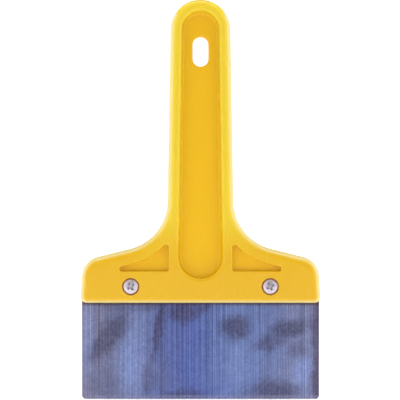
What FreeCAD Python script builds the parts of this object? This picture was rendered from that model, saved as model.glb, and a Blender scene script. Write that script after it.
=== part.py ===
import FreeCAD, Part
import math
import os

# A wide filling knife: a moulded handle, a clamp plate behind its head, and a spring steel blade held between the
# two by two screws and nuts. Millimetres. X runs across the blade, Z up the handle, and the front faces -Y. The
# origin lies on the working edge, below the middle of the handle, in the middle of the blade's thickness.
# A circle is written (x, z, radius). Outlines are circles joined by the lines that touch them, taken clockwise
# as seen from the front, and a circle that hollows the outline has a negative radius.

# Overall sizes
TOTAL_HEIGHT = 210.1
BLADE_WIDTH = 125.0
HEAD_BOTTOM = 50.8
GRIP_HALF_DEPTH = 8.5
HEAD_BOTTOM_HALF_DEPTH = 6.3
TAPER_START = 100.0

# Right half of the handle's outline
GRIP_TOP_RADIUS = 15.7
GRIP_TOP = (0.0, TOTAL_HEIGHT - GRIP_TOP_RADIUS, GRIP_TOP_RADIUS)
NECK = (43.5, 104.5, -26.3)
SHOULDER = (51.8, 64.5, 10.5)
HEAD_HALF_WIDTH = 63.1
LOW_CORNER = (60.7, HEAD_BOTTOM - 6.0, 3.0)
EDGE_FILLET = 3.8
BOTTOM_FILLET = 3.0

# Long recesses down the front and the back of the grip, as outlines of their floors
WEB_HALF_DEPTH = 2.5
CHANNEL_TOP = (0.0, 194.2, 8.9)
CHANNEL_FRONT_END = (0.0, 75.05, 10.65)
CHANNEL_BACK_END = (0.0, 84.0, 10.5)
CHANNEL_DRAFT = 12.0
CHANNEL_FLOOR_FILLET = 1.0
CHANNEL_MOUTH_FILLET = 1.5

# Hang slot through the web between them
SLOT_RADIUS = 4.1
SLOT_STRAIGHT = 7.4
SLOT_CENTRE_Z = 182.9
SLOT_FILLET = 0.6

# Three-cornered recesses on both sides of the channels; their long side follows the neck
RECESS_FLOOR_HALF_DEPTH = 4.5
RECESS_INNER_X = 17.0
RECESS_TOP = 81.1
RECESS_FRONT_BOTTOM = 67.8
RECESS_FRONT_TIP_X = 42.1
RECESS_BACK_BOTTOM = 71.8
RECESS_BACK_TIP_X = 27.7
RECESS_TOP_WIDTH = 2.0
RECESS_CORNER = 0.8
RECESS_LONG_SIDE = (43.8, 105.0, -34.7)
RECESS_TIP_RADIUS = 1.0
RECESS_DRAFT = 5.0
RECESS_FLOOR_FILLET = 0.4
RECESS_MOUTH_FILLET = 0.6
RECESS_REGION_X = 15.0

# Gate mark on the floor of the front channel
GATE_X = 2.9
GATE_Z = 73.8
GATE_RADIUS = 0.8
GATE_HEIGHT = 0.25

# Blade, and its seat in the back of the handle's head
BLADE_THICKNESS = 0.8
BLADE_TOP = 67.1
BLADE_CORNER = 1.8
BLADE_TOP_CORNER = 9.0
GRIND_HEIGHT = 2.2
EDGE_THICKNESS = 0.3
SEAT_CLEARANCE = 0.2

# Clamp plate
PLATE_TOP = 68.85
PLATE_GAP = 0.15
SEAM_FILLET = 0.4

# M4 pan head screws, 10 mm long, and their nuts
SIDES = {"left": -1, "right": 1}
SCREW_X = 36.6
SCREW_Z = 59.5
SCREW_RADIUS = 2.0
SCREW_LENGTH = 10.0
SCREW_TIP_CHAMFER = 0.4
HEAD_RADIUS = 4.0
HEAD_HEIGHT = 3.1
HEAD_RIM_HEIGHT = 1.5
HEAD_CROWN_SHARE = 0.77
HEAD_CROWN_DROP = 0.5
HEAD_SEAT_Y = -4.6
HEAD_SEAT_RADIUS = 4.5
HEAD_SEAT_FILLET = 0.3
WALL_HOLE_RADIUS = 2.15
BLADE_HOLE_RADIUS = 2.25
CROSS_SPAN = 4.6
CROSS_WIDTH = 1.3
CROSS_DEPTH = 2.0
CROSS_FLOOR_SHARE = 0.55
CROSS_TURN = {"left": 33.0, "right": 27.0}
NUT_ACROSS_FLATS = 7.0
NUT_HEIGHT = 3.2
NUT_SEAT_Y = 2.0
NUT_BORE_RADIUS = 2.03
NUT_CORNER_CHAMFER = 0.4
POCKET_ACROSS_FLATS = 7.3
POCKET_CHAMFER = 0.3

# Sizes for tests and for tools that run past the shape they cut
NEAR = 0.01
PAST = 1.0


def mirrored_circles(circles):
    """The same circles on the other side of the middle plane, in clockwise order again."""
    return [(-x, z, radius) for x, z, radius in reversed(circles)]


def outward_angle(first, second):
    """Direction, in radians, of the outward normal of the line that touches two circles that follow each other."""
    across = second[0] - first[0]
    up = second[1] - first[1]
    distance = math.hypot(across, up)
    return math.atan2(up, across) + math.acos((first[2] - second[2]) / distance)


def on_circle(circle, angle, y):
    """Point of a circle at an angle from the X axis, in the plane at y."""
    x, z, radius = circle
    return FreeCAD.Vector(x + radius * math.cos(angle), y, z + radius * math.sin(angle))


def loop(circles, y=0.0, growth=0.0):
    """Closed wire round the circles in the plane at y, moved outwards by a growth."""
    grown = [(x, z, radius + growth) for x, z, radius in circles]
    following = grown[1:] + grown[:1]
    leaving = [outward_angle(circle, after) for circle, after in zip(grown, following)]
    edges = []
    for i, circle in enumerate(grown):
        turn = (leaving[i - 1] - leaving[i]) % (2 * math.pi)
        if circle[2] < 0:
            turn -= 2 * math.pi
        start = on_circle(circle, leaving[i - 1], y)
        middle = on_circle(circle, leaving[i - 1] - turn / 2, y)
        end = on_circle(circle, leaving[i], y)
        next_start = on_circle(following[i], leaving[i], y)
        edges.append(Part.Arc(start, middle, end).toShape())
        edges.append(Part.LineSegment(end, next_start).toShape())
    return Part.Wire(edges)


def prism(circles, y_from, y_to, growth=0.0):
    """Solid of an outline between two depths."""
    face = Part.Face(loop(circles, y_from, growth))
    return face.extrude(FreeCAD.Vector(0, y_to - y_from, 0))


def box(x_from, x_to, y_from, y_to, z_from, z_to):
    """Block between two corners."""
    return Part.makeBox(x_to - x_from, y_to - y_from, z_to - z_from, FreeCAD.Vector(x_from, y_from, z_from))


def rod(radius, x, z, y_from, y_to):
    """Cylinder along Y."""
    return Part.makeCylinder(radius, y_to - y_from, FreeCAD.Vector(x, y_from, z), FreeCAD.Vector(0, 1, 0))


def hexagon(across_flats, x, z, y_from, y_to):
    """Hexagonal prism along Y, with flats above and below."""
    radius = across_flats / math.sqrt(3)
    corners = [on_circle((x, z, radius), math.radians(60 * i), y_from) for i in range(7)]
    return Part.Face(Part.makePolygon(corners)).extrude(FreeCAD.Vector(0, y_to - y_from, 0))


def edges_where(shape, test):
    """Edges of a shape whose middle point passes a test."""
    chosen = []
    for edge in shape.Edges:
        middle = edge.valueAt((edge.FirstParameter + edge.LastParameter) / 2)
        if test(middle):
            chosen.append(edge)
    return chosen


def outline_circles():
    """Circles of the handle's outline, from the top of the grip to below the head's bottom, where it is cut off."""
    right_half = [NECK, SHOULDER, LOW_CORNER]
    return [GRIP_TOP] + right_half + mirrored_circles(right_half)


def channel_circles(end):
    """Circles of the outline of a channel's floor."""
    return [CHANNEL_TOP, end]


def recess_circles(bottom, tip_x):
    """Circles of the outline of the right-hand three-cornered recess's floor."""
    top_z = RECESS_TOP - RECESS_CORNER
    inner_x = RECESS_INNER_X + RECESS_CORNER
    outer_x = RECESS_INNER_X + RECESS_TOP_WIDTH - RECESS_CORNER
    return [
        (inner_x, top_z, RECESS_CORNER),
        (outer_x, top_z, RECESS_CORNER),
        RECESS_LONG_SIDE,
        (tip_x - RECESS_TIP_RADIUS, bottom + RECESS_TIP_RADIUS, RECESS_TIP_RADIUS),
        (inner_x, bottom + RECESS_CORNER, RECESS_CORNER),
    ]


def blade_circles():
    """Circles of the blade's outline."""
    low = (BLADE_WIDTH / 2 - BLADE_CORNER, BLADE_CORNER, BLADE_CORNER)
    high = (BLADE_WIDTH / 2 - BLADE_TOP_CORNER, BLADE_TOP - BLADE_TOP_CORNER, BLADE_TOP_CORNER)
    right_half = [high, low]
    return right_half + mirrored_circles(right_half)


def side_profile():
    """Solid with the handle's side view: straight along the grip, then tapering in an arc to the head's bottom."""
    drop = TAPER_START - HEAD_BOTTOM
    inset = GRIP_HALF_DEPTH - HEAD_BOTTOM_HALF_DEPTH
    radius = (drop ** 2 + inset ** 2) / (2 * inset)
    half_turn = math.asin(drop / radius) / 2
    x = -HEAD_HALF_WIDTH - PAST
    arc_y = GRIP_HALF_DEPTH - radius * (1 - math.cos(half_turn))
    arc_z = TAPER_START - radius * math.sin(half_turn)
    heights = [TOTAL_HEIGHT + PAST, TAPER_START, arc_z, HEAD_BOTTOM]
    depths = [GRIP_HALF_DEPTH, GRIP_HALF_DEPTH, arc_y, HEAD_BOTTOM_HALF_DEPTH]
    front = [FreeCAD.Vector(x, -y, z) for y, z in zip(depths, heights)]
    back = [FreeCAD.Vector(x, y, z) for y, z in zip(depths, heights)]
    edges = [
        Part.LineSegment(back[0], front[0]).toShape(),
        Part.LineSegment(front[0], front[1]).toShape(),
        Part.Arc(front[1], front[2], front[3]).toShape(),
        Part.LineSegment(front[3], back[3]).toShape(),
        Part.Arc(back[3], back[2], back[1]).toShape(),
        Part.LineSegment(back[1], back[0]).toShape(),
    ]
    return Part.Face(Part.Wire(edges)).extrude(FreeCAD.Vector(2 * (HEAD_HALF_WIDTH + PAST), 0, 0))


def moulded_block():
    """Handle and clamp plate as one block with its outer edges rounded, then its bottom, and no recesses."""
    outline = outline_circles()
    block = prism(outline, -GRIP_HALF_DEPTH, GRIP_HALF_DEPTH).common(side_profile())
    wire = loop(outline)

    def on_rim(point):
        flat_point = Part.Vertex(point.x, 0, point.z)
        return abs(point.y) > HEAD_BOTTOM_HALF_DEPTH - NEAR and wire.distToShape(flat_point)[0] < NEAR

    block = block.makeFillet(EDGE_FILLET, edges_where(block, on_rim))
    return block.makeFillet(BOTTOM_FILLET, edges_where(block, lambda point: point.z < HEAD_BOTTOM + NEAR))


def drafted_pocket(circles, y_floor, side, depth, draft, floor_fillet):
    """Tool for a pocket that opens towards side (-1 front, 1 back) and widens by the draft angle."""
    y_end = y_floor + side * (depth + PAST)
    growth = (depth + PAST) * math.tan(math.radians(draft))
    tool = Part.makeLoft([loop(circles, y_floor), loop(circles, y_end, growth)], True, True)
    floor_edges = edges_where(tool, lambda point: abs(point.y - y_floor) < NEAR)
    return tool.makeFillet(floor_fillet, floor_edges)


def channel_tool(end, side):
    """Tool for the long recess on one face of the grip."""
    depth = GRIP_HALF_DEPTH - WEB_HALF_DEPTH
    floor_y = side * WEB_HALF_DEPTH
    return drafted_pocket(channel_circles(end), floor_y, side, depth, CHANNEL_DRAFT, CHANNEL_FLOOR_FILLET)


def recess_tools(bottom, tip_x, side):
    """Tools for the two three-cornered recesses on one face of the head."""
    floor_y = side * RECESS_FLOOR_HALF_DEPTH
    depth = GRIP_HALF_DEPTH - RECESS_FLOOR_HALF_DEPTH
    right = drafted_pocket(recess_circles(bottom, tip_x), floor_y, side, depth, RECESS_DRAFT, RECESS_FLOOR_FILLET)
    left = right.mirror(FreeCAD.Vector(0, 0, 0), FreeCAD.Vector(1, 0, 0))
    return [right, left]


def on_mouth(point):
    """Whether a point lies on the rim of a channel or of a three-cornered recess."""
    low_end = CHANNEL_FRONT_END[1] - CHANNEL_FRONT_END[2] - CHANNEL_FLOOR_FILLET - PAST
    flat_point = Part.Vertex(point.x, 0, point.z)
    off_outline = loop(outline_circles()).distToShape(flat_point)[0]
    return abs(point.y) > HEAD_BOTTOM_HALF_DEPTH and point.z > low_end and off_outline > EDGE_FILLET + NEAR


def moulding():
    """Handle and clamp plate as one solid with every recess cut and rounded."""
    body = moulded_block()
    tools = [channel_tool(CHANNEL_FRONT_END, -1), channel_tool(CHANNEL_BACK_END, 1)]
    tools += recess_tools(RECESS_FRONT_BOTTOM, RECESS_FRONT_TIP_X, -1)
    tools += recess_tools(RECESS_BACK_BOTTOM, RECESS_BACK_TIP_X, 1)
    for tool in tools:
        body = body.cut(tool)

    def on_channel_mouth(point):
        return on_mouth(point) and abs(point.x) < RECESS_REGION_X

    def on_recess_mouth(point):
        return on_mouth(point) and abs(point.x) > RECESS_REGION_X

    body = body.makeFillet(CHANNEL_MOUTH_FILLET, edges_where(body, on_channel_mouth))
    return body.makeFillet(RECESS_MOUTH_FILLET, edges_where(body, on_recess_mouth))


def with_hang_slot(body):
    """The moulding with the hang slot cut through its web, both rims rounded."""
    reach = SLOT_STRAIGHT / 2
    circles = [(0.0, SLOT_CENTRE_Z + reach, SLOT_RADIUS), (0.0, SLOT_CENTRE_Z - reach, SLOT_RADIUS)]
    body = body.cut(prism(circles, -WEB_HALF_DEPTH - PAST, WEB_HALF_DEPTH + PAST))
    slot_reach = reach + SLOT_RADIUS + NEAR

    def on_rim(point):
        beside = abs(point.x) < SLOT_RADIUS + NEAR and abs(point.z - SLOT_CENTRE_Z) < slot_reach
        return beside and abs(abs(point.y) - WEB_HALF_DEPTH) < NEAR

    return body.makeFillet(SLOT_FILLET, edges_where(body, on_rim))


def with_gate_mark(body):
    """The moulding with the small disc left by the gate on the floor of the front channel."""
    return body.fuse(rod(GATE_RADIUS, GATE_X, GATE_Z, -WEB_HALF_DEPTH - GATE_HEIGHT, -WEB_HALF_DEPTH + PAST))


def blade_seat():
    """Room for the blade behind the head's front wall."""
    return prism(blade_circles(), -BLADE_THICKNESS / 2, BLADE_THICKNESS / 2, SEAT_CLEARANCE)


def behind_blade(top):
    """Block that holds everything behind the blade up to a height."""
    reach = HEAD_HALF_WIDTH + PAST
    return box(-reach, reach, BLADE_THICKNESS / 2, GRIP_HALF_DEPTH + PAST, HEAD_BOTTOM - PAST, top)


def with_round_seam(shape, z):
    """The shape with its long edge at a height on the back rounded, where handle and clamp plate meet."""
    seam = edges_where(shape, lambda point: abs(point.z - z) < NEAR and point.y > HEAD_BOTTOM_HALF_DEPTH)
    return shape.makeFillet(SEAM_FILLET, seam)


def off_screw_axis(point):
    """Distance of a point from the nearer screw's axis."""
    return math.hypot(abs(point.x) - SCREW_X, point.z - SCREW_Z)


def make_handle(body):
    """Handle: the moulding less the clamp plate's place, the blade's seat and the screws' holes."""
    step = PLATE_TOP + PLATE_GAP
    handle = with_round_seam(body.cut(behind_blade(step)), step).cut(blade_seat())
    for side in SIDES.values():
        x = side * SCREW_X
        handle = handle.cut(rod(HEAD_SEAT_RADIUS, x, SCREW_Z, -GRIP_HALF_DEPTH, HEAD_SEAT_Y))
        handle = handle.cut(rod(WALL_HOLE_RADIUS, x, SCREW_Z, HEAD_SEAT_Y - PAST, PAST))

    def on_seat_mouth(point):
        return point.y < -HEAD_BOTTOM_HALF_DEPTH and abs(off_screw_axis(point) - HEAD_SEAT_RADIUS) < NEAR

    return handle.makeFillet(HEAD_SEAT_FILLET, edges_where(handle, on_seat_mouth))


def make_clamp_plate(body):
    """Clamp plate: the part of the moulding behind the blade, with holes and hexagonal nut pockets."""
    plate = with_round_seam(body.common(behind_blade(PLATE_TOP)), PLATE_TOP)
    for side in SIDES.values():
        x = side * SCREW_X
        plate = plate.cut(rod(WALL_HOLE_RADIUS, x, SCREW_Z, 0, GRIP_HALF_DEPTH))
        plate = plate.cut(hexagon(POCKET_ACROSS_FLATS, x, SCREW_Z, NUT_SEAT_Y, GRIP_HALF_DEPTH))

    def on_pocket_mouth(point):
        return point.y > HEAD_BOTTOM_HALF_DEPTH and abs(off_screw_axis(point) - POCKET_ACROSS_FLATS / 2) < NEAR

    return plate.makeChamfer(POCKET_CHAMFER, edges_where(plate, on_pocket_mouth))


def make_blade():
    """Blade: flat strip with rounded corners, ground thinner on both faces towards the working edge."""
    half = BLADE_THICKNESS / 2
    blade = prism(blade_circles(), -half, half)
    reach = BLADE_WIDTH / 2 + PAST
    for face in (-1, 1):
        corners = [
            FreeCAD.Vector(-reach, face * half, GRIND_HEIGHT),
            FreeCAD.Vector(-reach, face * EDGE_THICKNESS / 2, 0),
            FreeCAD.Vector(-reach, face * half, 0),
            FreeCAD.Vector(-reach, face * half, GRIND_HEIGHT),
        ]
        wedge = Part.Face(Part.makePolygon(corners)).extrude(FreeCAD.Vector(2 * reach, 0, 0))
        blade = blade.cut(wedge)
    for side in SIDES.values():
        blade = blade.cut(rod(BLADE_HOLE_RADIUS, side * SCREW_X, SCREW_Z, -PAST, PAST))
    return blade


def cross_recess(top_y):
    """Tool for the cross recess: two tapered wings at right angles, pointing into the head."""
    tools = []
    for along_x in (True, False):
        wires = []
        for y, share in ((top_y - NEAR, 1.0), (top_y + CROSS_DEPTH, CROSS_FLOOR_SHARE)):
            long_half = CROSS_SPAN / 2 * share
            wide_half = CROSS_WIDTH / 2 * (1 + share) / 2
            half_x, half_z = (long_half, wide_half) if along_x else (wide_half, long_half)
            corners = [(-half_x, -half_z), (half_x, -half_z), (half_x, half_z), (-half_x, half_z), (-half_x, -half_z)]
            wires.append(Part.makePolygon([FreeCAD.Vector(x, y, z) for x, z in corners]))
        tools.append(Part.makeLoft(wires, True, True))
    return tools[0].fuse(tools[1])


def make_screw(name):
    """Pan head screw with its axis along Y, turned about it as it was left when tightened."""
    tip_y = HEAD_SEAT_Y + SCREW_LENGTH
    top_y = HEAD_SEAT_Y - HEAD_HEIGHT
    rim_y = HEAD_SEAT_Y - HEAD_RIM_HEIGHT
    tip = FreeCAD.Vector(0, tip_y, 0)
    tip_edge = FreeCAD.Vector(SCREW_RADIUS - SCREW_TIP_CHAMFER, tip_y, 0)
    shank_end = FreeCAD.Vector(SCREW_RADIUS, tip_y - SCREW_TIP_CHAMFER, 0)
    shank_start = FreeCAD.Vector(SCREW_RADIUS, HEAD_SEAT_Y, 0)
    seat_edge = FreeCAD.Vector(HEAD_RADIUS, HEAD_SEAT_Y, 0)
    rim = FreeCAD.Vector(HEAD_RADIUS, rim_y, 0)
    crown = FreeCAD.Vector(HEAD_RADIUS * HEAD_CROWN_SHARE, top_y + HEAD_CROWN_DROP, 0)
    top = FreeCAD.Vector(0, top_y, 0)
    straight = [tip, tip_edge, shank_end, shank_start, seat_edge, rim]
    edges = [Part.LineSegment(a, b).toShape() for a, b in zip(straight, straight[1:])]
    edges.append(Part.Arc(rim, crown, top).toShape())
    edges.append(Part.LineSegment(top, tip).toShape())
    half_section = Part.Face(Part.Wire(edges))
    screw = half_section.revolve(FreeCAD.Vector(0, 0, 0), FreeCAD.Vector(0, 1, 0), 360)
    screw = screw.cut(cross_recess(top_y))
    screw.rotate(FreeCAD.Vector(0, 0, 0), FreeCAD.Vector(0, 1, 0), -CROSS_TURN[name])
    screw.translate(FreeCAD.Vector(SIDES[name] * SCREW_X, 0, SCREW_Z))
    return screw


def make_nut(name):
    """Hexagon nut in its pocket, with its corners chamfered on both faces."""
    x = SIDES[name] * SCREW_X
    nut_end = NUT_SEAT_Y + NUT_HEIGHT
    nut = hexagon(NUT_ACROSS_FLATS, x, SCREW_Z, NUT_SEAT_Y, nut_end)
    corner_radius = NUT_ACROSS_FLATS / math.sqrt(3)
    low_radius = corner_radius - NUT_CORNER_CHAMFER
    high_radius = low_radius + NUT_HEIGHT
    axis = FreeCAD.Vector(0, 1, 0)
    from_seat = Part.makeCone(low_radius, high_radius, NUT_HEIGHT, FreeCAD.Vector(x, NUT_SEAT_Y, SCREW_Z), axis)
    from_end = Part.makeCone(high_radius, low_radius, NUT_HEIGHT, FreeCAD.Vector(x, NUT_SEAT_Y, SCREW_Z), axis)
    nut = nut.common(from_seat).common(from_end)
    return nut.cut(rod(NUT_BORE_RADIUS, x, SCREW_Z, NUT_SEAT_Y - PAST, nut_end + PAST))


def write_part(name, shape):
    """Write one named piece, after checking that it is one sound solid."""
    if not shape.isValid() or len(shape.Solids) != 1:
        raise ValueError(name + " is not one valid solid")
    shape.Solids[0].exportStep("parts/" + name + ".step")


os.makedirs("parts", exist_ok=True)
moulded = with_gate_mark(with_hang_slot(moulding()))
write_part("handle", make_handle(moulded))
write_part("clamp_plate", make_clamp_plate(moulded))
write_part("blade", make_blade())
for name in SIDES:
    write_part("screw_" + name, make_screw(name))
    write_part("nut_" + name, make_nut(name))
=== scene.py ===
"""Looks of a wide filling knife: dresses the moulded handle, the blued blade and the fasteners, and lights them."""

import logging
import math
from dataclasses import dataclass, field
from enum import Enum
from typing import Optional

import bmesh
import bpy
from mathutils import Matrix, Vector

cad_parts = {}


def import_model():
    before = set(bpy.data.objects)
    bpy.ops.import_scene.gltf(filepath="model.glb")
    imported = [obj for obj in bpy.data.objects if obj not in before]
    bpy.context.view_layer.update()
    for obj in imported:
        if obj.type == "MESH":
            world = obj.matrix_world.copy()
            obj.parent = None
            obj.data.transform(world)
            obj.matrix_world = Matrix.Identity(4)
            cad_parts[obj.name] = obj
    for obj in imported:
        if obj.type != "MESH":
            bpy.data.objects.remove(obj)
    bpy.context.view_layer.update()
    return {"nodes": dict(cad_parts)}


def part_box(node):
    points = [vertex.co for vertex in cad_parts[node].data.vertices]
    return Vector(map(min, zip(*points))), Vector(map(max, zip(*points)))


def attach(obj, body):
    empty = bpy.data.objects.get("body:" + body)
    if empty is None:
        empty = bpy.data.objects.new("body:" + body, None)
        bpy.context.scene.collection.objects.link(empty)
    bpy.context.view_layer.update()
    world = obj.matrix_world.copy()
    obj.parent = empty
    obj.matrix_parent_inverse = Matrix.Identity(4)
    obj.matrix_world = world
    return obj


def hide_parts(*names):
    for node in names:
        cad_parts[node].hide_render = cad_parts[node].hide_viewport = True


logging.basicConfig(level=logging.INFO, format="%(message)s")
log = logging.getLogger("filling_knife")

Tree = bpy.types.NodeTree
Node = bpy.types.Node
Socket = bpy.types.NodeSocket

MM = 0.001
WELD = 0.001 * MM
BODY = "root"


class Slot(Enum):
    """Material slots of the record that new pieces take their finish from."""

    PLASTIC = "yellow_plastic"
    PLATED = "plated_steel"


def linear_colour(code: str) -> tuple[float, float, float, float]:
    """Turn an sRGB hex colour into linear red, green, blue and full alpha.

    Args:
        code: six hex digits, such as "F3C20E".

    Returns:
        The colour as four linear numbers.
    """
    channels = [int(code[i:i + 2], 16) / 255 for i in (0, 2, 4)]
    linear = [c / 12.92 if c <= 0.04045 else ((c + 0.055) / 1.055) ** 2.4 for c in channels]
    return (linear[0], linear[1], linear[2], 1.0)


def add_node(
    tree: Tree,
    kind: str,
    settings: Optional[dict] = None,
    links: Optional[dict] = None,
    stops: tuple = (),
) -> Node:
    """Add a node to a material and connect it.

    Args:
        tree: the material's node tree.
        kind: the node's type name, without its ShaderNode prefix.
        settings: values by input name, input number or property name.
        links: output sockets by the input name or number that they feed.
        stops: (place, hex colour) pairs for a colour ramp.

    Returns:
        The new node.
    """
    node = tree.nodes.new("ShaderNode" + kind)
    for key, value in (settings or {}).items():
        if isinstance(key, int) or key in node.inputs:
            node.inputs[key].default_value = value
        else:
            setattr(node, key, value)
    for key, socket in (links or {}).items():
        tree.links.new(socket, node.inputs[key])
    for i, (place, code) in enumerate(stops):
        elements = node.color_ramp.elements
        element = elements[i] if i < 2 else elements.new(place)
        element.position = place
        element.color = linear_colour(code)
    return node


@dataclass(frozen=True)
class Contrast:
    """How a noise is read: between its low and high values the result goes from one number to another."""

    low: float
    high: float
    first: float
    last: float


@dataclass(frozen=True)
class Finish:
    """A named surface finish with its own node tree."""

    name: str

    def material(self) -> bpy.types.Material:
        """Build the material, with the finish's own nodes feeding one shader.

        Returns:
            The new material.
        """
        made = bpy.data.materials.new(self.name)
        made.use_nodes = True
        tree = made.node_tree
        tree.nodes.clear()
        output = tree.nodes.new("ShaderNodeOutputMaterial")
        shader = tree.nodes.new("ShaderNodeBsdfPrincipled")
        tree.links.new(shader.outputs["BSDF"], output.inputs["Surface"])
        self.paint(tree, shader)
        return made

    def paint(self, tree: Tree, shader: Node) -> None:
        """Add the finish's nodes; each finish has its own."""
        raise NotImplementedError

    def both(self, tree: Tree, first: Socket, second: Socket, operation: str = "MULTIPLY") -> Socket:
        """Join two sockets with one sum."""
        return add_node(tree, "Math", {"operation": operation}, {0: first, 1: second}).outputs["Value"]

    def size_of(self, tree: Tree, value: Socket) -> Socket:
        """Drop a number's sign."""
        return add_node(tree, "Math", {"operation": "ABSOLUTE"}, {0: value}).outputs["Value"]

    def ramp(
        self,
        tree: Tree,
        value: Socket,
        start: float,
        end: float,
        low: float = 0.0,
        high: float = 1.0,
        smooth: bool = True,
    ) -> Socket:
        """Move from one number to another as a value rises or falls.

        Args:
            tree: the material's node tree.
            value: the value to read.
            start: the value at which the result leaves low.
            end: the value at which the result reaches high; it may be the smaller one.
            low: the result before start.
            high: the result past end.
            smooth: whether the change starts and ends gently.

        Returns:
            Socket with the result.
        """
        settings = {"interpolation_type": "SMOOTHSTEP" if smooth else "LINEAR"}
        if start <= end:
            settings.update({"From Min": start, "From Max": end, "To Min": low, "To Max": high})
        else:
            settings.update({"From Min": end, "From Max": start, "To Min": high, "To Max": low})
        return add_node(tree, "MapRange", settings, {"Value": value}).outputs["Result"]

    def contrast(self, tree: Tree, value: Socket, by: Contrast) -> Socket:
        """Read a noise as a share of the light or as a gloss."""
        return self.ramp(tree, value, by.low, by.high, by.first, by.last, smooth=False)

    def step(self, tree: Tree, value: Socket, start_mm: float, end_mm: float) -> Socket:
        """Rise smoothly from 0 at one length to 1 at another, given in millimetres."""
        return self.ramp(tree, value, start_mm * MM, end_mm * MM)

    def blend(self, tree: Tree, amount: Socket, colour: Socket, code: str) -> Socket:
        """Mix a colour towards a hex colour by an amount."""
        mixed = add_node(tree, "Mix", {"data_type": "RGBA", 7: linear_colour(code)}, {0: amount, 6: colour})
        return mixed.outputs[2]

    def noise(self, tree: Tree, place: Socket, size_mm: float, detail: float, twist: float = 0.0) -> Node:
        """Add noise whose features are about a given size in millimetres."""
        settings = {"Scale": 1 / (size_mm * MM), "Detail": detail, "Distortion": twist}
        return add_node(tree, "TexNoise", settings, {"Vector": place})

    def bump(self, tree: Tree, shader: Node, height: Socket, strength: float, depth_mm: float) -> None:
        """Roughen the surface by a height, given the depth in millimetres."""
        raised = add_node(tree, "Bump", {"Strength": strength, "Distance": depth_mm * MM}, {"Height": height})
        tree.links.new(raised.outputs["Normal"], shader.inputs["Normal"])


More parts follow.
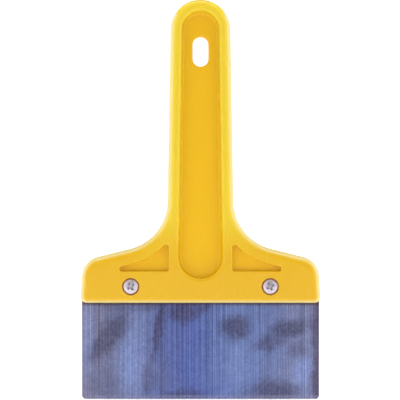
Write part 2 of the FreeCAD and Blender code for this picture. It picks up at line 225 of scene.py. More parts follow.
@dataclass(frozen=True)
class MouldedPlastic(Finish):
    """Glossy injection-moulded ABS, coloured through, with the faint unevenness of a polished mould.

    The colour is a warm yellow, lemon along the thin grip and deeper in the head, which is painted shade, and
    deeper still on the floors of the recesses, also painted shade. Places are in millimetres in the knife's own
    frame.
    """

    grip_colour: str = "D8BB28"
    shaded_head_colour: str = "D2A402"
    recess_shade_colour: str = "E3B300"
    ior: float = 1.5
    specular: float = 0.34
    sheen_colour: str = "D2BE72"
    sheen_start: tuple = (0.96, 0.68)
    sheen_end: tuple = (0.02, 0.12)
    bore_light_colour: str = "FFB850"
    bore_mm: tuple = (36.6, 59.5)
    bore_radius_mm: float = 4.52
    bore_edge_mm: float = 0.08
    bore_seat_mm: float = -4.5
    glow_through: float = 0.15
    glow_tint: tuple = (1.0, 0.45, 0.05)
    glow_depth_mm: float = 1.5
    flow_mm: float = 38.0
    flow_depth: float = 0.35
    peel_mm: float = 1.6
    peel_height_mm: float = 0.005
    peel_strength: float = 0.6
    scuff_mm: float = 0.5
    scuff_length_mm: float = 9.0
    scuff_lean: float = 0.25
    scuff_gloss: Contrast = Contrast(0.5, 0.8, 0.26, 0.29)
    grip_start_mm: float = 72.0
    grip_end_mm: float = 104.0
    channel_floor_mm: float = 2.9
    side_floor_mm: float = 4.9
    fade_mm: float = 1.0
    edge_mm: float = 0.6
    channel_half_width_mm: float = 12.6
    channel_end_mm: float = 62.0
    side_recess_mm: tuple = (15.8, 43.2)
    side_recess_end_mm: float = 66.5
    neck_mm: tuple = (43.8, 105.0)
    neck_wall_mm: float = 33.6

    def hollows(self, tree: Tree, parts: Node) -> tuple[Socket, Socket]:
        """Find the channels and the three-cornered recesses, from floor to mouth.

        Args:
            tree: the material's node tree.
            parts: the node that gives the place's X, Y and Z.

        Returns:
            Sockets that are 1 over a channel and 1 over a side recess.
        """
        across = self.size_of(tree, parts.outputs["X"])
        height = parts.outputs["Z"]
        channel = self.both(
            tree,
            self.step(tree, across, self.channel_half_width_mm, self.channel_half_width_mm - self.edge_mm),
            self.step(tree, height, self.channel_end_mm - 1.0, self.channel_end_mm),
        )
        reach = self.reach(tree, across, height, self.neck_mm)
        side = self.step(tree, reach, self.neck_wall_mm - self.edge_mm, self.neck_wall_mm)
        inner, outer = self.side_recess_mm
        for test in (
            self.step(tree, across, inner - self.edge_mm, inner),
            self.step(tree, across, outer + self.edge_mm, outer),
            self.step(tree, height, self.side_recess_end_mm - self.edge_mm, self.side_recess_end_mm),
            self.step(tree, height, self.neck_mm[1], self.neck_mm[1] - self.edge_mm),
        ):
            side = self.both(tree, side, test)
        return channel, side

    def reach(self, tree: Tree, across: Socket, height: Socket, centre: tuple) -> Socket:
        """Measure the distance from a centre as the front view shows it.

        Args:
            tree: the material's node tree.
            across: socket with the distance from the knife's middle.
            height: socket with the height.
            centre: the centre's two places in millimetres.

        Returns:
            Socket with the distance in metres.
        """
        right, up = centre
        sideways = self.both(tree, across, self.length(tree, right), "SUBTRACT")
        upwards = self.both(tree, height, self.length(tree, up), "SUBTRACT")
        offset = add_node(tree, "CombineXYZ", {}, {"X": sideways, "Z": upwards})
        return add_node(tree, "VectorMath", {"operation": "LENGTH"}, {0: offset.outputs["Vector"]}).outputs["Value"]

    def length(self, tree: Tree, size_mm: float) -> Socket:
        """Give a length as a socket.

        Args:
            tree: the material's node tree.
            size_mm: the length in millimetres.

        Returns:
            Socket with the length in metres.
        """
        node = add_node(tree, "Value")
        node.outputs[0].default_value = size_mm * MM
        return node.outputs[0]

    def floor_shade_share(self, tree: Tree, parts: Node, channel: Socket, side: Socket) -> Socket:
        """Find the floors of the hollows, which get a painted shade.

        Args:
            tree: the material's node tree.
            parts: the node that gives the place's X, Y and Z.
            channel: socket that is 1 over a channel.
            side: socket that is 1 over a side recess.

        Returns:
            Socket that is 1 on the floors and 0 on the rims and the outside.
        """
        depth = self.size_of(tree, parts.outputs["Y"])
        low = self.step(tree, depth, self.channel_floor_mm + self.fade_mm, self.channel_floor_mm)
        high = self.step(tree, depth, self.side_floor_mm + self.fade_mm, self.side_floor_mm)
        return self.both(tree, self.both(tree, channel, low), self.both(tree, side, high), "MAXIMUM")

    def rounded_sheen_share(self, tree: Tree, facing: Socket, channel: Socket, side: Socket) -> Socket:
        """Find the rounded outer edges, which are painted paler as a painted sheen.

        Args:
            tree: the material's node tree.
            facing: socket with the surface's own direction.
            channel: socket that is 1 over a channel.
            side: socket that is 1 over a side recess.

        Returns:
            Socket that is 1 on the outer roundings and 0 on the flat faces, the sides and in the hollows.
        """
        front = self.size_of(tree, add_node(tree, "SeparateXYZ", {}, {"Vector": facing}).outputs["Y"])
        share = self.both(tree, self.ramp(tree, front, *self.sheen_start), self.ramp(tree, front, *self.sheen_end))
        for hollow in (channel, side):
            outside = add_node(tree, "Math", {"operation": "SUBTRACT", 0: 1.0}, {1: hollow}).outputs["Value"]
            share = self.both(tree, share, outside)
        return share

    def bore_light_share(self, tree: Tree, parts: Node) -> Socket:
        """Find the walls of the two screw bores, which are painted brighter: painted light in the thin, shaded gap
        round each screw head.

        Args:
            tree: the material's node tree.
            parts: the node that gives the place's X, Y and Z.

        Returns:
            Socket that is 1 inside the bores and 0 elsewhere.
        """
        across = self.size_of(tree, parts.outputs["X"])
        reach = self.reach(tree, across, parts.outputs["Z"], self.bore_mm)
        inside = self.step(tree, reach, self.bore_radius_mm + self.bore_edge_mm, self.bore_radius_mm)
        front = self.step(tree, parts.outputs["Y"], self.bore_seat_mm + self.edge_mm, self.bore_seat_mm)
        return self.both(tree, inside, front)

    def colour(self, tree: Tree, coordinates: Node, place: Socket, parts: Node) -> Socket:
        """Colour of the moulding at each point.

        Args:
            tree: the material's node tree.
            coordinates: the texture coordinates' node.
            place: socket with the place on the knife.
            parts: the node that gives the place's X, Y and Z.

        Returns:
            Socket with the colour.
        """
        # Slow change of tone where the melt flowed: it keeps the broad faces from looking computer flat.
        # On top of it, the tone is painted deeper from the grip down into the head: painted shade.
        flow = self.noise(tree, place, self.flow_mm, 2.0)
        drift = add_node(
            tree,
            "Math",
            {"operation": "MULTIPLY_ADD", 1: self.flow_depth},
            {0: flow.outputs["Fac"], 2: self.step(tree, parts.outputs["Z"], self.grip_start_mm, self.grip_end_mm)},
        )
        stops = ((self.flow_depth / 2, self.shaded_head_colour), (1.0, self.grip_colour))
        tone = add_node(tree, "ValToRGB", {}, {"Fac": drift.outputs["Value"]}, stops).outputs["Color"]
        channel, side = self.hollows(tree, parts)
        # Painted shade: the floors of the channel and the side recesses are painted a deeper orange
        tone = self.blend(tree, self.floor_shade_share(tree, parts, channel, side), tone, self.recess_shade_colour)
        # Painted sheen: the outer roundings are painted paler
        rounded = self.rounded_sheen_share(tree, coordinates.outputs["Normal"], channel, side)
        tone = self.blend(tree, rounded, tone, self.sheen_colour)
        # Painted light: the bore walls are painted a bright orange so that the gap round each head does not look
        # dark
        return self.blend(tree, self.bore_light_share(tree, parts), tone, self.bore_light_colour)

    def paint(self, tree: Tree, shader: Node) -> None:
        """Colour, orange peel, light handling scuffs and a little light let through.

        Args:
            tree: the material's node tree.
            shader: the shader that the nodes feed.
        """
        coordinates = add_node(tree, "TexCoord")
        place = coordinates.outputs["Object"]
        parts = add_node(tree, "SeparateXYZ", {}, {"Vector": place})
        tree.links.new(self.colour(tree, coordinates, place, parts), shader.inputs["Base Color"])
        # Light scuffs from packing, longer along the handle than across, seen only as a change of gloss
        stretch = (1 / (self.scuff_mm * MM), 1 / (self.scuff_mm * MM), 1 / (self.scuff_length_mm * MM))
        along = add_node(
            tree, "Mapping", {"Scale": stretch, "Rotation": (0.0, self.scuff_lean, 0.0)}, {"Vector": place}
        )
        scuffs = add_node(tree, "TexNoise", {"Scale": 1.0, "Detail": 3.0}, {"Vector": along.outputs["Vector"]})
        gloss = self.contrast(tree, scuffs.outputs["Fac"], self.scuff_gloss)
        tree.links.new(gloss, shader.inputs["Roughness"])
        # Orange peel of the mould: breaks up reflections along the rounded rims
        peel = self.noise(tree, place, self.peel_mm, 2.0)
        self.bump(tree, shader, peel.outputs["Fac"], self.peel_strength, self.peel_height_mm)
        shader.inputs["IOR"].default_value = self.ior
        shader.inputs["Specular IOR Level"].default_value = self.specular
        shader.inputs["Subsurface Weight"].default_value = self.glow_through
        shader.inputs["Subsurface Radius"].default_value = self.glow_tint
        shader.inputs["Subsurface Scale"].default_value = self.glow_depth_mm * MM


@dataclass(frozen=True)
class Stain:
    """One dark or light cloud in the oxide film, as a leaning oval in millimetres on the blade."""

    x: float
    z: float
    half_width: float
    half_height: float
    lean: float = 0.0
    strength: float = 1.0


@dataclass(frozen=True)
class Mark:
    """One brush line that runs the blade's whole height: its place, half its width, and its share of the light."""

    x: float
    half_width: float
    share: float


@dataclass(frozen=True)
class BluedSteel(Finish):
    """Spring steel strip tempered to a blue oxide film: brushed upwards, with clouds where the film is thicker."""

    width_mm: float = 125.0
    film: tuple = (
        (0.0, "787690"), (0.12, "696E8D"), (0.22, "707BA5"), (0.33, "5A6391"), (0.45, "53609A"),
        (0.64, "6675A5"), (0.78, "636F9A"), (0.93, "73799C"), (1.0, "645E77"),
    )
    dark_colour: str = "47435B"
    light_colour: str = "7A8ABB"
    ground_colour: str = "7C7992"
    handle_shadow_colour: str = "46332F"
    line_mm: float = 0.6
    line_length_mm: float = 160.0
    line_contrast: Contrast = Contrast(0.36, 0.64, 0.7, 1.32)
    line_gloss: Contrast = Contrast(0.3, 0.7, 0.34, 0.5)
    line_depth_mm: float = 0.01
    line_strength: float = 0.35
    band_mm: float = 2.2
    band_length_mm: float = 240.0
    band_contrast: Contrast = Contrast(0.32, 0.68, 0.94, 1.06)
    rare_mm: float = 0.8
    rare_length_mm: float = 300.0
    rare_dark: Contrast = Contrast(0.2, 0.34, 0.74, 1.0)
    rare_bright: Contrast = Contrast(0.68, 0.82, 1.0, 1.3)
    grain_mm: float = 0.55
    grain_contrast: Contrast = Contrast(0.3, 0.7, 0.9, 1.1)
    mottle_mm: float = 3.0
    mottle_contrast: Contrast = Contrast(0.3, 0.7, 0.86, 1.14)
    drift_mm: float = 22.0
    drift_depth: float = 0.16
    ragged: tuple = ((7.0, 3.4), (1.6, 1.7))
    stain_rim: tuple = (1.45, 0.45)
    crinkle_mm: float = 1.1
    crinkle_contrast: Contrast = Contrast(0.36, 0.64, 1.05, 0.62)
    grind_height_mm: float = 2.2
    grind_fade_mm: float = 0.3
    ground_share: float = 0.45
    handle_edge_mm: float = 50.8
    handle_shadow_mm: float = 2.2
    handle_shadow_gap_mm: float = 0.2
    handle_shadow_share: float = 0.85
    marks: tuple = (
        Mark(-20.6, 0.55, 0.72),
        Mark(3.1, 0.35, 0.7),
        Mark(30.2, 0.4, 1.28),
        Mark(32.6, 0.3, 1.2),
        Mark(-13.2, 0.3, 1.2),
        Mark(8.6, 0.3, 1.16),
        Mark(-41.5, 0.3, 0.84),
    )
    dark_stains: tuple = (
        Stain(-48.0, 33.0, 6.0, 16.0, 37.0, 0.8),
        Stain(-34.0, 49.0, 17.0, 3.6, 0.0, 0.5),
        Stain(-22.6, 36.0, 2.0, 17.0, 8.5, 0.8),
        Stain(-27.5, 10.5, 4.6, 9.0, 12.0, 0.45),
        Stain(-9.5, 45.5, 8.5, 5.6, 0.0, 0.85),
        Stain(-1.5, 48.0, 8.0, 2.4, 0.0, 0.7),
        Stain(18.2, 37.6, 7.6, 6.4, 0.0, 0.9),
        Stain(46.5, 37.0, 9.6, 5.2, -14.0, 0.85),
        Stain(36.5, 29.6, 8.0, 4.4, -10.0, 0.7),
        Stain(51.0, 25.5, 5.0, 4.5, 0.0, 0.45),
        Stain(38.0, 4.2, 13.0, 6.4, 0.0, 0.8),
        Stain(-8.0, 2.0, 10.0, 3.4, 0.0, 0.55),
        Stain(-51.0, 8.0, 8.0, 8.0, 0.0, 0.3),
        Stain(62.5, 26.0, 3.2, 40.0, 0.0, 0.75),
    )
    light_stains: tuple = (
        Stain(54.5, 13.5, 4.6, 9.5, 0.0, 0.7),
        Stain(-38.5, 20.0, 5.0, 15.0, 0.0, 0.45),
        Stain(-59.0, 33.0, 4.0, 20.0, 0.0, 0.35),
        Stain(20.0, 18.0, 7.0, 12.0, 0.0, 0.25),
    )

    def cloud(self, tree: Tree, place: Socket, stains: tuple) -> Socket:
        """Draw the stains of one kind, the strongest on top where they overlap.

        Args:
            tree: the material's node tree.
            place: socket with the place on the blade, already made ragged.
            stains: the stains to draw.

        Returns:
            Socket with how strong the stain is at each point.
        """
        total: Optional[Socket] = None
        for stain in stains:
            settings = {
                "vector_type": "TEXTURE",
                "Location": (stain.x * MM, 0.0, stain.z * MM),
                "Rotation": (0.0, math.radians(stain.lean), 0.0),
                "Scale": (stain.half_width * MM, 1.0, stain.half_height * MM),
            }
            spot = add_node(tree, "Mapping", settings, {"Vector": place})
            reach = add_node(tree, "VectorMath", {"operation": "LENGTH"}, {0: spot.outputs["Vector"]})
            share = self.ramp(tree, reach.outputs["Value"], *self.stain_rim, 0.0, stain.strength)
            total = share if total is None else self.both(tree, total, share, "MAXIMUM")
        return total

    def streaks(self, tree: Tree, place: Socket, across_mm: float, along_mm: float, detail: float) -> Socket:
        """Noise drawn out up the blade, as brushing leaves it.

        Args:
            tree: the material's node tree.
            place: socket with the place on the blade.
            across_mm: width of one line.
            along_mm: length over which a line changes.
            detail: how much finer structure it holds.

        Returns:
            Socket with the noise.
        """
        scale = (1 / (across_mm * MM), 0.0, 1 / (along_mm * MM))
        drawn = add_node(tree, "Mapping", {"Scale": scale}, {"Vector": place})
        noise = add_node(tree, "TexNoise", {"Scale": 1.0, "Detail": detail}, {"Vector": drawn.outputs["Vector"]})
        return noise.outputs["Fac"]

    def line_light(self, tree: Tree, place: Socket, across: Socket) -> tuple[Socket, Socket]:
        """Work out how much the brush lines lighten or darken each point.

        Args:
            tree: the material's node tree.
            place: socket with the place on the blade.
            across: socket with how far along the blade the point is.

        Returns:
            Sockets with the product of all the lines and with the fine lines' noise alone.
        """
        fine = self.streaks(tree, place, self.line_mm, self.line_length_mm, 3.0)
        broad = self.streaks(tree, place, self.band_mm, self.band_length_mm, 2.0)
        rare = self.streaks(tree, place, self.rare_mm, self.rare_length_mm, 0.0)
        grain = self.noise(tree, place, self.grain_mm, 3.0).outputs["Fac"]
        mottle = self.noise(tree, place, self.mottle_mm, 5.0, 1.5).outputs["Fac"]
        total = self.contrast(tree, fine, self.line_contrast)
        for value, by in (
            (broad, self.band_contrast),
            (rare, self.rare_dark),
            (rare, self.rare_bright),
            (grain, self.grain_contrast),
            (mottle, self.mottle_contrast),
        ):
            total = self.both(tree, total, self.contrast(tree, value, by))
        for mark in self.marks:
            off = add_node(tree, "Math", {"operation": "SUBTRACT", 1: mark.x * MM}, {0: across})
            away = self.size_of(tree, off.outputs["Value"])
            share = self.ramp(tree, away, 0.0, 2 * mark.half_width * MM, mark.share, 1.0)
            total = self.both(tree, total, share)
        return total, fine

    def film_colour(self, tree: Tree, place: Socket, across: Socket) -> Socket:
        """Oxide film along the blade: it drifts from lavender at the ends to a full blue in the middle.

        Args:
            tree: the material's node tree.
            place: socket with the place on the blade.
            across: socket with how far along the blade the point is.

        Returns:
            Socket with the colour.
        """
        half = self.width_mm * MM / 2
        share = self.ramp(tree, across, -half, half, smooth=False)
        wobble = self.noise(tree, place, self.drift_mm, 3.0)
        shifted = add_node(
            tree, "Math", {"operation": "MULTIPLY_ADD", 1: self.drift_depth}, {0: wobble.outputs["Fac"], 2: share}
        )
        settings = {"operation": "SUBTRACT", 1: self.drift_depth / 2}
        centred = add_node(tree, "Math", settings, {0: shifted.outputs["Value"]})
        return add_node(tree, "ValToRGB", {}, {"Fac": centred.outputs["Value"]}, self.film).outputs["Color"]

    def pulled(self, tree: Tree, place: Socket) -> Socket:
        """Pull the places about with coarse and fine noise, so that the clouds get ragged rims.

        Args:
            tree: the material's node tree.
            place: socket with the place on the blade.

        Returns:
            Socket with the ragged place.
        """
        for size_mm, reach_mm in self.ragged:
            pull = self.noise(tree, place, size_mm, 4.0)
            settings = {"operation": "SUBTRACT", 1: (0.5, 0.5, 0.5)}
            offset = add_node(tree, "VectorMath", settings, {0: pull.outputs["Color"]})
            settings = {"operation": "MULTIPLY_ADD", 1: (reach_mm * 2 * MM, 0.0, reach_mm * 2 * MM)}
            moved = add_node(tree, "VectorMath", settings, {0: offset.outputs["Vector"], 2: place})
            place = moved.outputs["Vector"]
        return place

    def paint(self, tree: Tree, shader: Node) -> None:
        """Oxide colours across the blade, clouds, brush lines, a painted shadow under the handle and the ground
        edge.

        Args:
            tree: the material's node tree.
            shader: the shader that the nodes feed.
        """
        place = add_node(tree, "TexCoord").outputs["Object"]
        parts = add_node(tree, "SeparateXYZ", {}, {"Vector": place})
        ragged = self.pulled(tree, place)
        colour = self.film_colour(tree, place, parts.outputs["X"])
        colour = self.blend(tree, self.cloud(tree, ragged, self.light_stains), colour, self.light_colour)
        # A crinkle breaks up the inside of the dark clouds
        crinkle = self.noise(tree, place, self.crinkle_mm, 4.0, 1.2)
        patchy = self.contrast(tree, crinkle.outputs["Fac"], self.crinkle_contrast)
        dark = self.both(tree, self.cloud(tree, ragged, self.dark_stains), patchy)
        colour = self.blend(tree, dark, colour, self.dark_colour)
        # Painted shadow: a thin dark brown strip on the blade along the handle's lower edge
        height = parts.outputs["Z"]
        start = (self.handle_edge_mm - self.handle_shadow_mm) * MM
        end = (self.handle_edge_mm - self.handle_shadow_gap_mm) * MM
        strip = self.ramp(tree, height, start, end, 0.0, self.handle_shadow_share)
        colour = self.blend(tree, strip, colour, self.handle_shadow_colour)
        # The ground edge has lost most of its film
        start = self.grind_height_mm * MM
        end = start - self.grind_fade_mm * MM
        ground = self.ramp(tree, height, start, end, 0.0, self.ground_share, smooth=False)
        colour = self.blend(tree, ground, colour, self.ground_colour)
        light, fine = self.line_light(tree, place, parts.outputs["X"])
        brushed = add_node(tree, "VectorMath", {"operation": "SCALE"}, {0: colour, "Scale": light})
        tree.links.new(brushed.outputs["Vector"], shader.inputs["Base Color"])
        # The fine lines catch the light: gloss and a shallow relief follow them
        tree.links.new(self.contrast(tree, fine, self.line_gloss), shader.inputs["Roughness"])
        self.bump(tree, shader, fine, self.line_strength, self.line_depth_mm)
        shader.inputs["Metallic"].default_value = 1.0


@dataclass(frozen=True)
class ZincPlate(Finish):
    """Bright zinc plate on turned steel: a cool silver with a slight cloud and a fine grit."""

    colour: str = "C6BEC6"
    worn_colour: str = "ACA4AE"
    worn_up_to: float = 0.35
    bright_from: float = 0.6
    cloud_mm: float = 1.1
    grit_mm: float = 0.22
    grit_gloss: Contrast = Contrast(0.0, 1.0, 0.36, 0.52)
    grit_depth_mm: float = 0.01
    grit_strength: float = 0.3

    def paint(self, tree: Tree, shader: Node) -> None:
        """Slightly clouded plate with a fine grit.

        Args:
            tree: the material's node tree.
            shader: the shader that the nodes feed.
        """
        place = add_node(tree, "TexCoord").outputs["Object"]
        cloud = self.noise(tree, place, self.cloud_mm, 3.0)
        stops = ((self.worn_up_to, self.worn_colour), (self.bright_from, self.colour))
        tone = add_node(tree, "ValToRGB", {}, {"Fac": cloud.outputs["Fac"]}, stops)
        tree.links.new(tone.outputs["Color"], shader.inputs["Base Color"])
        grit = self.noise(tree, place, self.grit_mm, 2.0).outputs["Fac"]
        tree.links.new(self.contrast(tree, grit, self.grit_gloss), shader.inputs["Roughness"])
        self.bump(tree, shader, grit, self.grit_strength, self.grit_depth_mm)
        shader.inputs["Metallic"].default_value = 1.0


@dataclass(frozen=True)
class PaleCard(Finish):
    """Matt white card of the studio sweep, lit through a little so that it stays clean white."""

    colour: str = "FAFAFA"
    front_glow: float = 0.1
    back_glow: float = 0.5
    front_y: float = -1.8
    back_y: float = -0.45
    roughness: float = 0.9
    tooth_mm: float = 3.0
    tooth_depth_mm: float = 0.05
    tooth_strength: float = 0.1

    def paint(self, tree: Tree, shader: Node) -> None:
        """Matt card with a barely visible paper tooth and a glow that fades out in front of the knife.

        Args:
            tree: the material's node tree.
            shader: the shader that the nodes feed.
        """
        place = add_node(tree, "TexCoord").outputs["Object"]
        parts = add_node(tree, "SeparateXYZ", {}, {"Vector": place})
        depth = parts.outputs["Y"]
        glow = self.ramp(tree, depth, self.front_y, self.back_y, self.front_glow, self.back_glow, smooth=False)
        tree.links.new(glow, shader.inputs["Emission Strength"])
        tooth = self.noise(tree, place, self.tooth_mm, 2.0)
        self.bump(tree, shader, tooth.outputs["Fac"], self.tooth_strength, self.tooth_depth_mm)
        shader.inputs["Base Color"].default_value = linear_colour(self.colour)
        shader.inputs["Roughness"].default_value = self.roughness
        shader.inputs["Emission Color"].default_value = (1.0, 1.0, 1.0, 1.0)


def new_piece(name: str, shape: bmesh.types.BMesh, material: bpy.types.Material, smooth: bool) -> bpy.types.Object:
    """Turn a finished bmesh into an object at the origin.

    Args:
        name: the object's name.
        shape: the mesh, which is freed.
        material: its finish.
        smooth: whether its faces are shaded smooth.

    Returns:
        The new object.
    """
    mesh = bpy.data.meshes.new(name)
    shape.to_mesh(mesh)
    shape.free()
    mesh.materials.append(material)
    for face in mesh.polygons:
        face.use_smooth = smooth
    piece = bpy.data.objects.new(name, mesh)
    bpy.context.scene.collection.objects.link(piece)
    return piece


def dress(node: bpy.types.Object, material: bpy.types.Material) -> None:
    """Give a CAD node's object a finish in place of its plain one."""
    for slot in node.material_slots:
        slot.material = material


@dataclass
class Handle:
    """Moulded handle and clamp plate, with the fine line that the mould's two halves leave."""

    nodes: dict
    plastic: bpy.types.Material
    flash_radius: float = 0.13 * MM
    slot_half_width: float = 6.0 * MM
    seat_clearance: float = 0.5 * MM
    crown: float = 6.0 * MM
    pieces: list = field(default_factory=list)

    def build(self) -> None:
        """Dress both mouldings and add the parting line."""
        for name in ("handle", "clamp_plate"):
            dress(self.nodes[name], self.plastic)
        self.pieces.append(self.parting_line())

    def parting_line(self) -> bpy.types.Object:
        """Thin raised line round the handle where the mould's halves met, halfway through its depth.

        Returns:
            The line as a closed tube half sunk in the handle's side.
        """
        path = self.outline()
        curve = bpy.data.curves.new("parting_line", "CURVE")
        curve.dimensions = "3D"
        curve.bevel_depth = self.flash_radius
        curve.bevel_resolution = 1
        curve.use_fill_caps = True
        spline = curve.splines.new("POLY")
        spline.points.add(len(path) - 1)
        for point, place in zip(spline.points, path):
            point.co = (*place, 1.0)
        holder = bpy.data.objects.new("parting_line_path", curve)
        tube = bmesh.new()
        tube.from_mesh(holder.to_mesh())
        holder.to_mesh_clear()
        bpy.data.objects.remove(holder)
        bpy.data.curves.remove(curve)
        bmesh.ops.remove_doubles(tube, verts=tube.verts, dist=WELD)
        bmesh.ops.recalc_face_normals(tube, faces=tube.faces)
        line = new_piece("parting_line", tube, self.plastic, True)
        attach(line, BODY)
        return line

    def outline(self) -> list[Vector]:
        """Outer outline of the handle at half its depth, from one side of the blade's seat round to the other.

        Returns:
            The outline's points in order.
        """
        seat_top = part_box("blade")[1].z + self.seat_clearance
        slot_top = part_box("handle")[1].z - self.crown
        section = bmesh.new()
        section.from_mesh(self.nodes["handle"].data)
        bmesh.ops.remove_doubles(section, verts=section.verts, dist=WELD)
        everything = section.verts[:] + section.edges[:] + section.faces[:]
        cut = bmesh.ops.bisect_plane(section, geom=everything, plane_co=(0, 0, 0), plane_no=(0, 1, 0))
        follows: dict = {}
        for edge in (g for g in cut["geom_cut"] if isinstance(g, bmesh.types.BMEdge)):
            first, second = edge.verts
            if all(
                v.co.z > seat_top and (abs(v.co.x) > self.slot_half_width or v.co.z > slot_top)
                for v in (first, second)
            ):
                follows.setdefault(first, []).append(second)
                follows.setdefault(second, []).append(first)
        chain = [next(v for v in follows if len(follows[v]) == 1)]
        while True:
            after = [v for v in follows[chain[-1]] if v not in chain[-2:]]
            if not after:
                break
            chain.append(after[0])
        path = [vertex.co.copy() for vertex in chain]
        section.free()
        return path


@dataclass
class Blade:
    """Blued blade; its shape is the CAD one and its finish carries the look."""

    nodes: dict
    steel: bpy.types.Material

    def build(self) -> None:
        """Dress the blade."""
        dress(self.nodes["blade"], self.steel)


@dataclass
class Fasteners:
    """M4 pan head screws with cross recess and thread, and their nuts."""

    nodes: dict
    plate: bpy.types.Material
    pitch: float = 0.7 * MM
    thread_depth: float = 0.4 * MM
    head_height: float = 3.1 * MM
    rim_height: float = 1.5 * MM
    shank_radius: float = 2.0 * MM
    recess_span: float = 4.6 * MM
    recess_width: float = 1.25 * MM
    recess_depth: float = 1.5 * MM
    recess_taper: float = 0.55
    crown_steps: int = 8
    crown_fullness: float = 0.8
    rim_bevel: float = 0.15 * MM
    tip_bevel: float = 0.25 * MM
    crest: tuple = (0.36, 0.5)
    root: float = 0.86
    lead_in: float = 0.2
    runout: float = 1.4
    ridge_sink: float = 0.08 * MM
    core_overlap: float = 0.4 * MM
    steps_per_turn: int = 32
    turns: tuple = (("screw_left", 33.0), ("screw_right", 27.0))
    pieces: list = field(default_factory=list)

    def build(self) -> None:
        """Make both screws and dress both nuts."""
        for name, turn in self.turns:
            self.pieces.append(self.screw(name, turn))
        for name in ("nut_left", "nut_right"):
            dress(self.nodes[name], self.plate)

    def screw(self, name: str, turn: float) -> bpy.types.Object:
        """Build one screw where its CAD node is.

        Args:
            name: the CAD node that it replaces.
            turn: how far its cross recess is turned, in degrees.

        Returns:
            The finished screw.
        """
        low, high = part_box(name)
        head_radius = (high.x - low.x) / 2
        seat = low.y + self.head_height
        body = bmesh.new()
        self.add_head(body, head_radius, low.y, seat)
        self.add_thread(body, seat, high.y)
        piece = new_piece(name + "_turned", body, self.plate, True)
        cutter = self.recess_cutter(low.y)
        cut = piece.modifiers.new("recess", "BOOLEAN")
        cut.operation = "DIFFERENCE"
        cut.solver = "EXACT"
        cut.use_self = True
        cut.object = cutter
        graph = bpy.context.evaluated_depsgraph_get()
        piece_mesh = bpy.data.meshes.new_from_object(piece.evaluated_get(graph))
        piece.modifiers.clear()
        piece.data = piece_mesh
        bpy.data.objects.remove(cutter)
        middle = Vector(((low.x + high.x) / 2, 0.0, (low.z + high.z) / 2))
        piece.data.transform(Matrix.Translation(middle) @ Matrix.Rotation(-math.radians(turn), 4, "Y"))
        piece.data.set_sharp_from_angle(angle=math.radians(32))
        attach(piece, BODY)
        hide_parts(name)
        return piece

    def add_head(self, body: bmesh.types.BMesh, radius: float, top: float, seat: float) -> None:
        """Spin the head's outline about the Y axis.

        Args:
            body: the mesh to add to.
            radius: the head's radius.
            top: y of the head's crown.
            seat: y of the head's underside.
        """
        rim = seat - self.rim_height
        outline = [Vector((0.0, top, 0.0))]
        for i in range(1, self.crown_steps + 1):
            angle = math.pi / 2 * i / self.crown_steps
            out = radius * math.sin(angle) ** self.crown_fullness
            outline.append(Vector((out, rim - (rim - top) * math.cos(angle), 0.0)))
        outline.append(Vector((radius, seat - self.rim_bevel, 0.0)))
        outline.append(Vector((radius - self.rim_bevel, seat, 0.0)))
        outline.append(Vector((0.0, seat, 0.0)))
        verts = [body.verts.new(point) for point in outline]
        edges = [body.edges.new(pair) for pair in zip(verts, verts[1:])]
        bmesh.ops.spin(
            body, geom=verts + edges, cent=(0, 0, 0), axis=(0, 1, 0), dvec=(0, 0, 0),
            angle=2 * math.pi, steps=64, use_merge=True, use_duplicate=False,
        )
        bmesh.ops.remove_doubles(body, verts=body.verts, dist=WELD)
        bmesh.ops.recalc_face_normals(body, faces=body.faces)

    def add_thread(self, body: bmesh.types.BMesh, seat: float, tip: float) -> None:
        """Add the shank's core and a helical thread round it.

        Args:
            body: the mesh to add to.
            seat: y where the thread starts, under the head.
            tip: y of the shank's end.
        """
        core = self.shank_radius - self.thread_depth
        length = tip - seat
        middle = seat + (length - self.core_overlap) / 2
        turn = Matrix.Translation((0, middle, 0)) @ Matrix.Rotation(math.pi / 2, 4, "X")
        rod = bmesh.ops.create_cone(
            body, cap_ends=True, segments=48, radius1=core, radius2=core,
            depth=length + self.core_overlap, matrix=turn,
        )
        end_edges = [
            edge for edge in {e for v in rod["verts"] for e in v.link_edges}
            if all(v.co.y > tip - 0.01 * MM for v in edge.verts)
        ]
        bmesh.ops.bevel(
            body, geom=end_edges, offset=self.tip_bevel, segments=2, profile=0.5, affect="EDGES", material=-1
        )
        turns = (length - self.pitch * self.runout) / self.pitch
        start = seat + self.pitch * self.lead_in
        inside = core - self.ridge_sink
        ridge = [
            body.verts.new((inside, start, 0.0)),
            body.verts.new((inside, start + self.pitch * self.root, 0.0)),
            body.verts.new((self.shank_radius, start + self.pitch * self.crest[1], 0.0)),
            body.verts.new((self.shank_radius, start + self.pitch * self.crest[0], 0.0)),
        ]
        face = body.faces.new(ridge)
        bmesh.ops.spin(
            body, geom=ridge + face.edges[:] + [face], cent=(0, 0, 0), axis=(0, 1, 0),
            dvec=(0, self.pitch / self.steps_per_turn, 0), angle=2 * math.pi * turns,
            steps=round(self.steps_per_turn * turns), use_merge=False, use_duplicate=False,
        )
        bmesh.ops.recalc_face_normals(body, faces=body.faces)

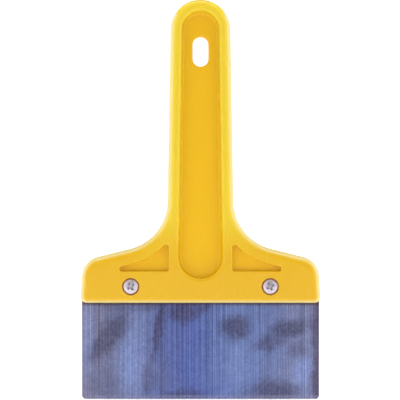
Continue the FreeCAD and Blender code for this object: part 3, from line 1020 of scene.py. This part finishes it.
    def recess_cutter(self, top: float) -> bpy.types.Object:
        """Cross with tapered wings that sinks into the head.

        Args:
            top: y of the head's crown.

        Returns:
            The cutter, for one Boolean.
        """
        cross = bmesh.new()
        half_span = self.recess_span / 2
        half_width = self.recess_width / 2
        centre = bmesh.ops.create_cube(cross, size=1.0)["verts"]
        bmesh.ops.scale(cross, verts=centre, vec=(self.recess_width, 1.0 * MM, self.recess_width))
        sides = [face for face in cross.faces if abs(face.normal.y) < 0.5]
        for face in sides:
            normal = face.normal.copy()
            grown = bmesh.ops.extrude_discrete_faces(cross, faces=[face])["faces"][0]
            bmesh.ops.translate(cross, verts=grown.verts[:], vec=normal * (half_span - half_width))
        bmesh.ops.remove_doubles(cross, verts=cross.verts, dist=WELD)
        inner = [face for face in cross.faces if face.normal.y > 0.5]
        deeper = bmesh.ops.extrude_face_region(cross, geom=inner)["geom"]
        low_verts = [g for g in deeper if isinstance(g, bmesh.types.BMVert)]
        bmesh.ops.delete(cross, geom=inner, context="FACES")
        bmesh.ops.translate(cross, verts=low_verts, vec=(0, self.recess_depth, 0))
        bmesh.ops.scale(cross, verts=low_verts, vec=(self.recess_taper, 1.0, self.recess_taper))
        bmesh.ops.translate(cross, verts=cross.verts, vec=(0, top - 0.5 * MM, 0))
        bmesh.ops.recalc_face_normals(cross, faces=cross.faces)
        mesh = bpy.data.meshes.new("recess_cutter")
        cross.to_mesh(mesh)
        cross.free()
        cutter = bpy.data.objects.new("recess_cutter", mesh)
        bpy.context.scene.collection.objects.link(cutter)
        return cutter


@dataclass(frozen=True)
class Softbox:
    """One soft rectangular light: its centre and its sides in metres, and its power in watts."""

    name: str
    place: tuple
    width: float
    height: float
    power: float


@dataclass
class Studio:
    """Round white tent, soft lights and the camera in front of the knife."""

    card: bpy.types.Material
    lens_mm: float = 200.0
    sensor_mm: float = 36.0
    frame_height: float = 210.96 * MM
    aim: tuple = (-0.26 * MM, 0.0, 104.9 * MM)
    sky: float = 0.25
    floor_drop: float = 0.4 * MM
    tent_radius: float = 2.6
    tent_curve: float = 0.5
    tent_height: float = 1.5
    softboxes: tuple = (
        Softbox("left_panel", (-0.75, -0.5, 0.5), 1.1, 1.5, 3.4),
        Softbox("right_panel", (0.75, -0.5, 0.5), 1.1, 1.5, 3.4),
        Softbox("left_strip", (-0.6, -0.03, 0.25), 0.2, 0.8, 1.1),
        Softbox("right_strip", (0.6, -0.03, 0.25), 0.2, 0.8, 1.1),
        Softbox("top_panel", (0.0, -0.1, 1.1), 1.0, 0.8, 2.0),
        Softbox("top_strip", (0.0, -0.03, 0.9), 1.0, 0.2, 3.2),
    )

    def build(self) -> None:
        """Set up everything round the knife."""
        self.world()
        self.sweep()
        self.lights()
        self.camera()

    def world(self) -> None:
        """Even white surroundings, as in a light tent."""
        world = bpy.data.worlds.new("light_tent")
        world.use_nodes = True
        background = world.node_tree.nodes["Background"]
        background.inputs["Color"].default_value = (1.0, 1.0, 1.0, 1.0)
        background.inputs["Strength"].default_value = self.sky
        bpy.context.scene.world = world

    def sweep(self) -> None:
        """Round floor that curves up into a wall all round, so that the knife can be seen from any side."""
        shape = bmesh.new()
        z = -self.floor_drop
        centre = shape.verts.new((0.0, 0.0, z))
        corner = shape.verts.new((0.0, self.tent_radius - self.tent_curve, z))
        shape.edges.new((centre, corner))
        bmesh.ops.spin(
            shape, geom=[corner], cent=(0, self.tent_radius - self.tent_curve, z + self.tent_curve), axis=(1, 0, 0),
            dvec=(0, 0, 0), angle=math.pi / 2, steps=24, use_merge=False, use_duplicate=False,
        )
        top = max(shape.verts, key=lambda v: v.co.z)
        raised = bmesh.ops.extrude_vert_indiv(shape, verts=[top])["verts"]
        bmesh.ops.translate(shape, verts=raised, vec=(0, 0, self.tent_height - self.tent_curve))
        bmesh.ops.spin(
            shape, geom=shape.verts[:] + shape.edges[:], cent=(0, 0, 0), axis=(0, 0, 1), dvec=(0, 0, 0),
            angle=2 * math.pi, steps=96, use_merge=True, use_duplicate=False,
        )
        bmesh.ops.remove_doubles(shape, verts=shape.verts, dist=WELD)
        bmesh.ops.recalc_face_normals(shape, faces=shape.faces)
        new_piece("studio_sweep", shape, self.card, True)

    def lights(self) -> None:
        """Panels that light the whole knife softly, and strips beside and above it that catch the rounded rims."""
        for box in self.softboxes:
            self.add_light(box)

    def add_light(self, box: Softbox) -> None:
        """Add one soft rectangular light that faces the knife.

        Args:
            box: the light's place, size and power.
        """
        light = bpy.data.lights.new(box.name, "AREA")
        light.shape = "RECTANGLE"
        light.size = box.width
        light.size_y = box.height
        light.energy = box.power
        holder = bpy.data.objects.new(box.name, light)
        holder.location = box.place
        aim = Vector(self.aim) - Vector(box.place)
        holder.rotation_euler = aim.to_track_quat("-Z", "Y").to_euler()
        bpy.context.scene.collection.objects.link(holder)

    def camera(self) -> None:
        """Long lens straight in front, so that the knife is seen almost without perspective."""
        lens = bpy.data.cameras.new("front_camera")
        lens.lens = self.lens_mm
        lens.sensor_width = self.sensor_mm
        distance = self.frame_height * self.lens_mm / self.sensor_mm
        holder = bpy.data.objects.new("front_camera", lens)
        holder.location = (self.aim[0], -distance, self.aim[2])
        holder.rotation_euler = (math.pi / 2, 0.0, 0.0)
        bpy.context.scene.collection.objects.link(holder)
        bpy.context.scene.camera = holder


def main() -> None:
    """Load the frame, build each sub-assembly and report it."""
    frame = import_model()
    nodes = frame["nodes"]
    bpy.context.scene.view_settings.view_transform = "Standard"
    plastic = MouldedPlastic("glossy_yellow_moulding").material()
    steel = BluedSteel("blued_spring_steel").material()
    plate = ZincPlate("bright_zinc_plate").material()
    card = PaleCard("white_card").material()
    handle = Handle(nodes, plastic)
    handle.build()
    log.info("handle: %s", [piece.name for piece in handle.pieces])
    blade = Blade(nodes, steel)
    blade.build()
    log.info("blade dressed")
    fasteners = Fasteners(nodes, plate)
    fasteners.build()
    log.info("fasteners: %s", [piece.name for piece in fasteners.pieces])
    Studio(card).build()
    log.info("studio ready")


if __name__ == "__main__":
    main()
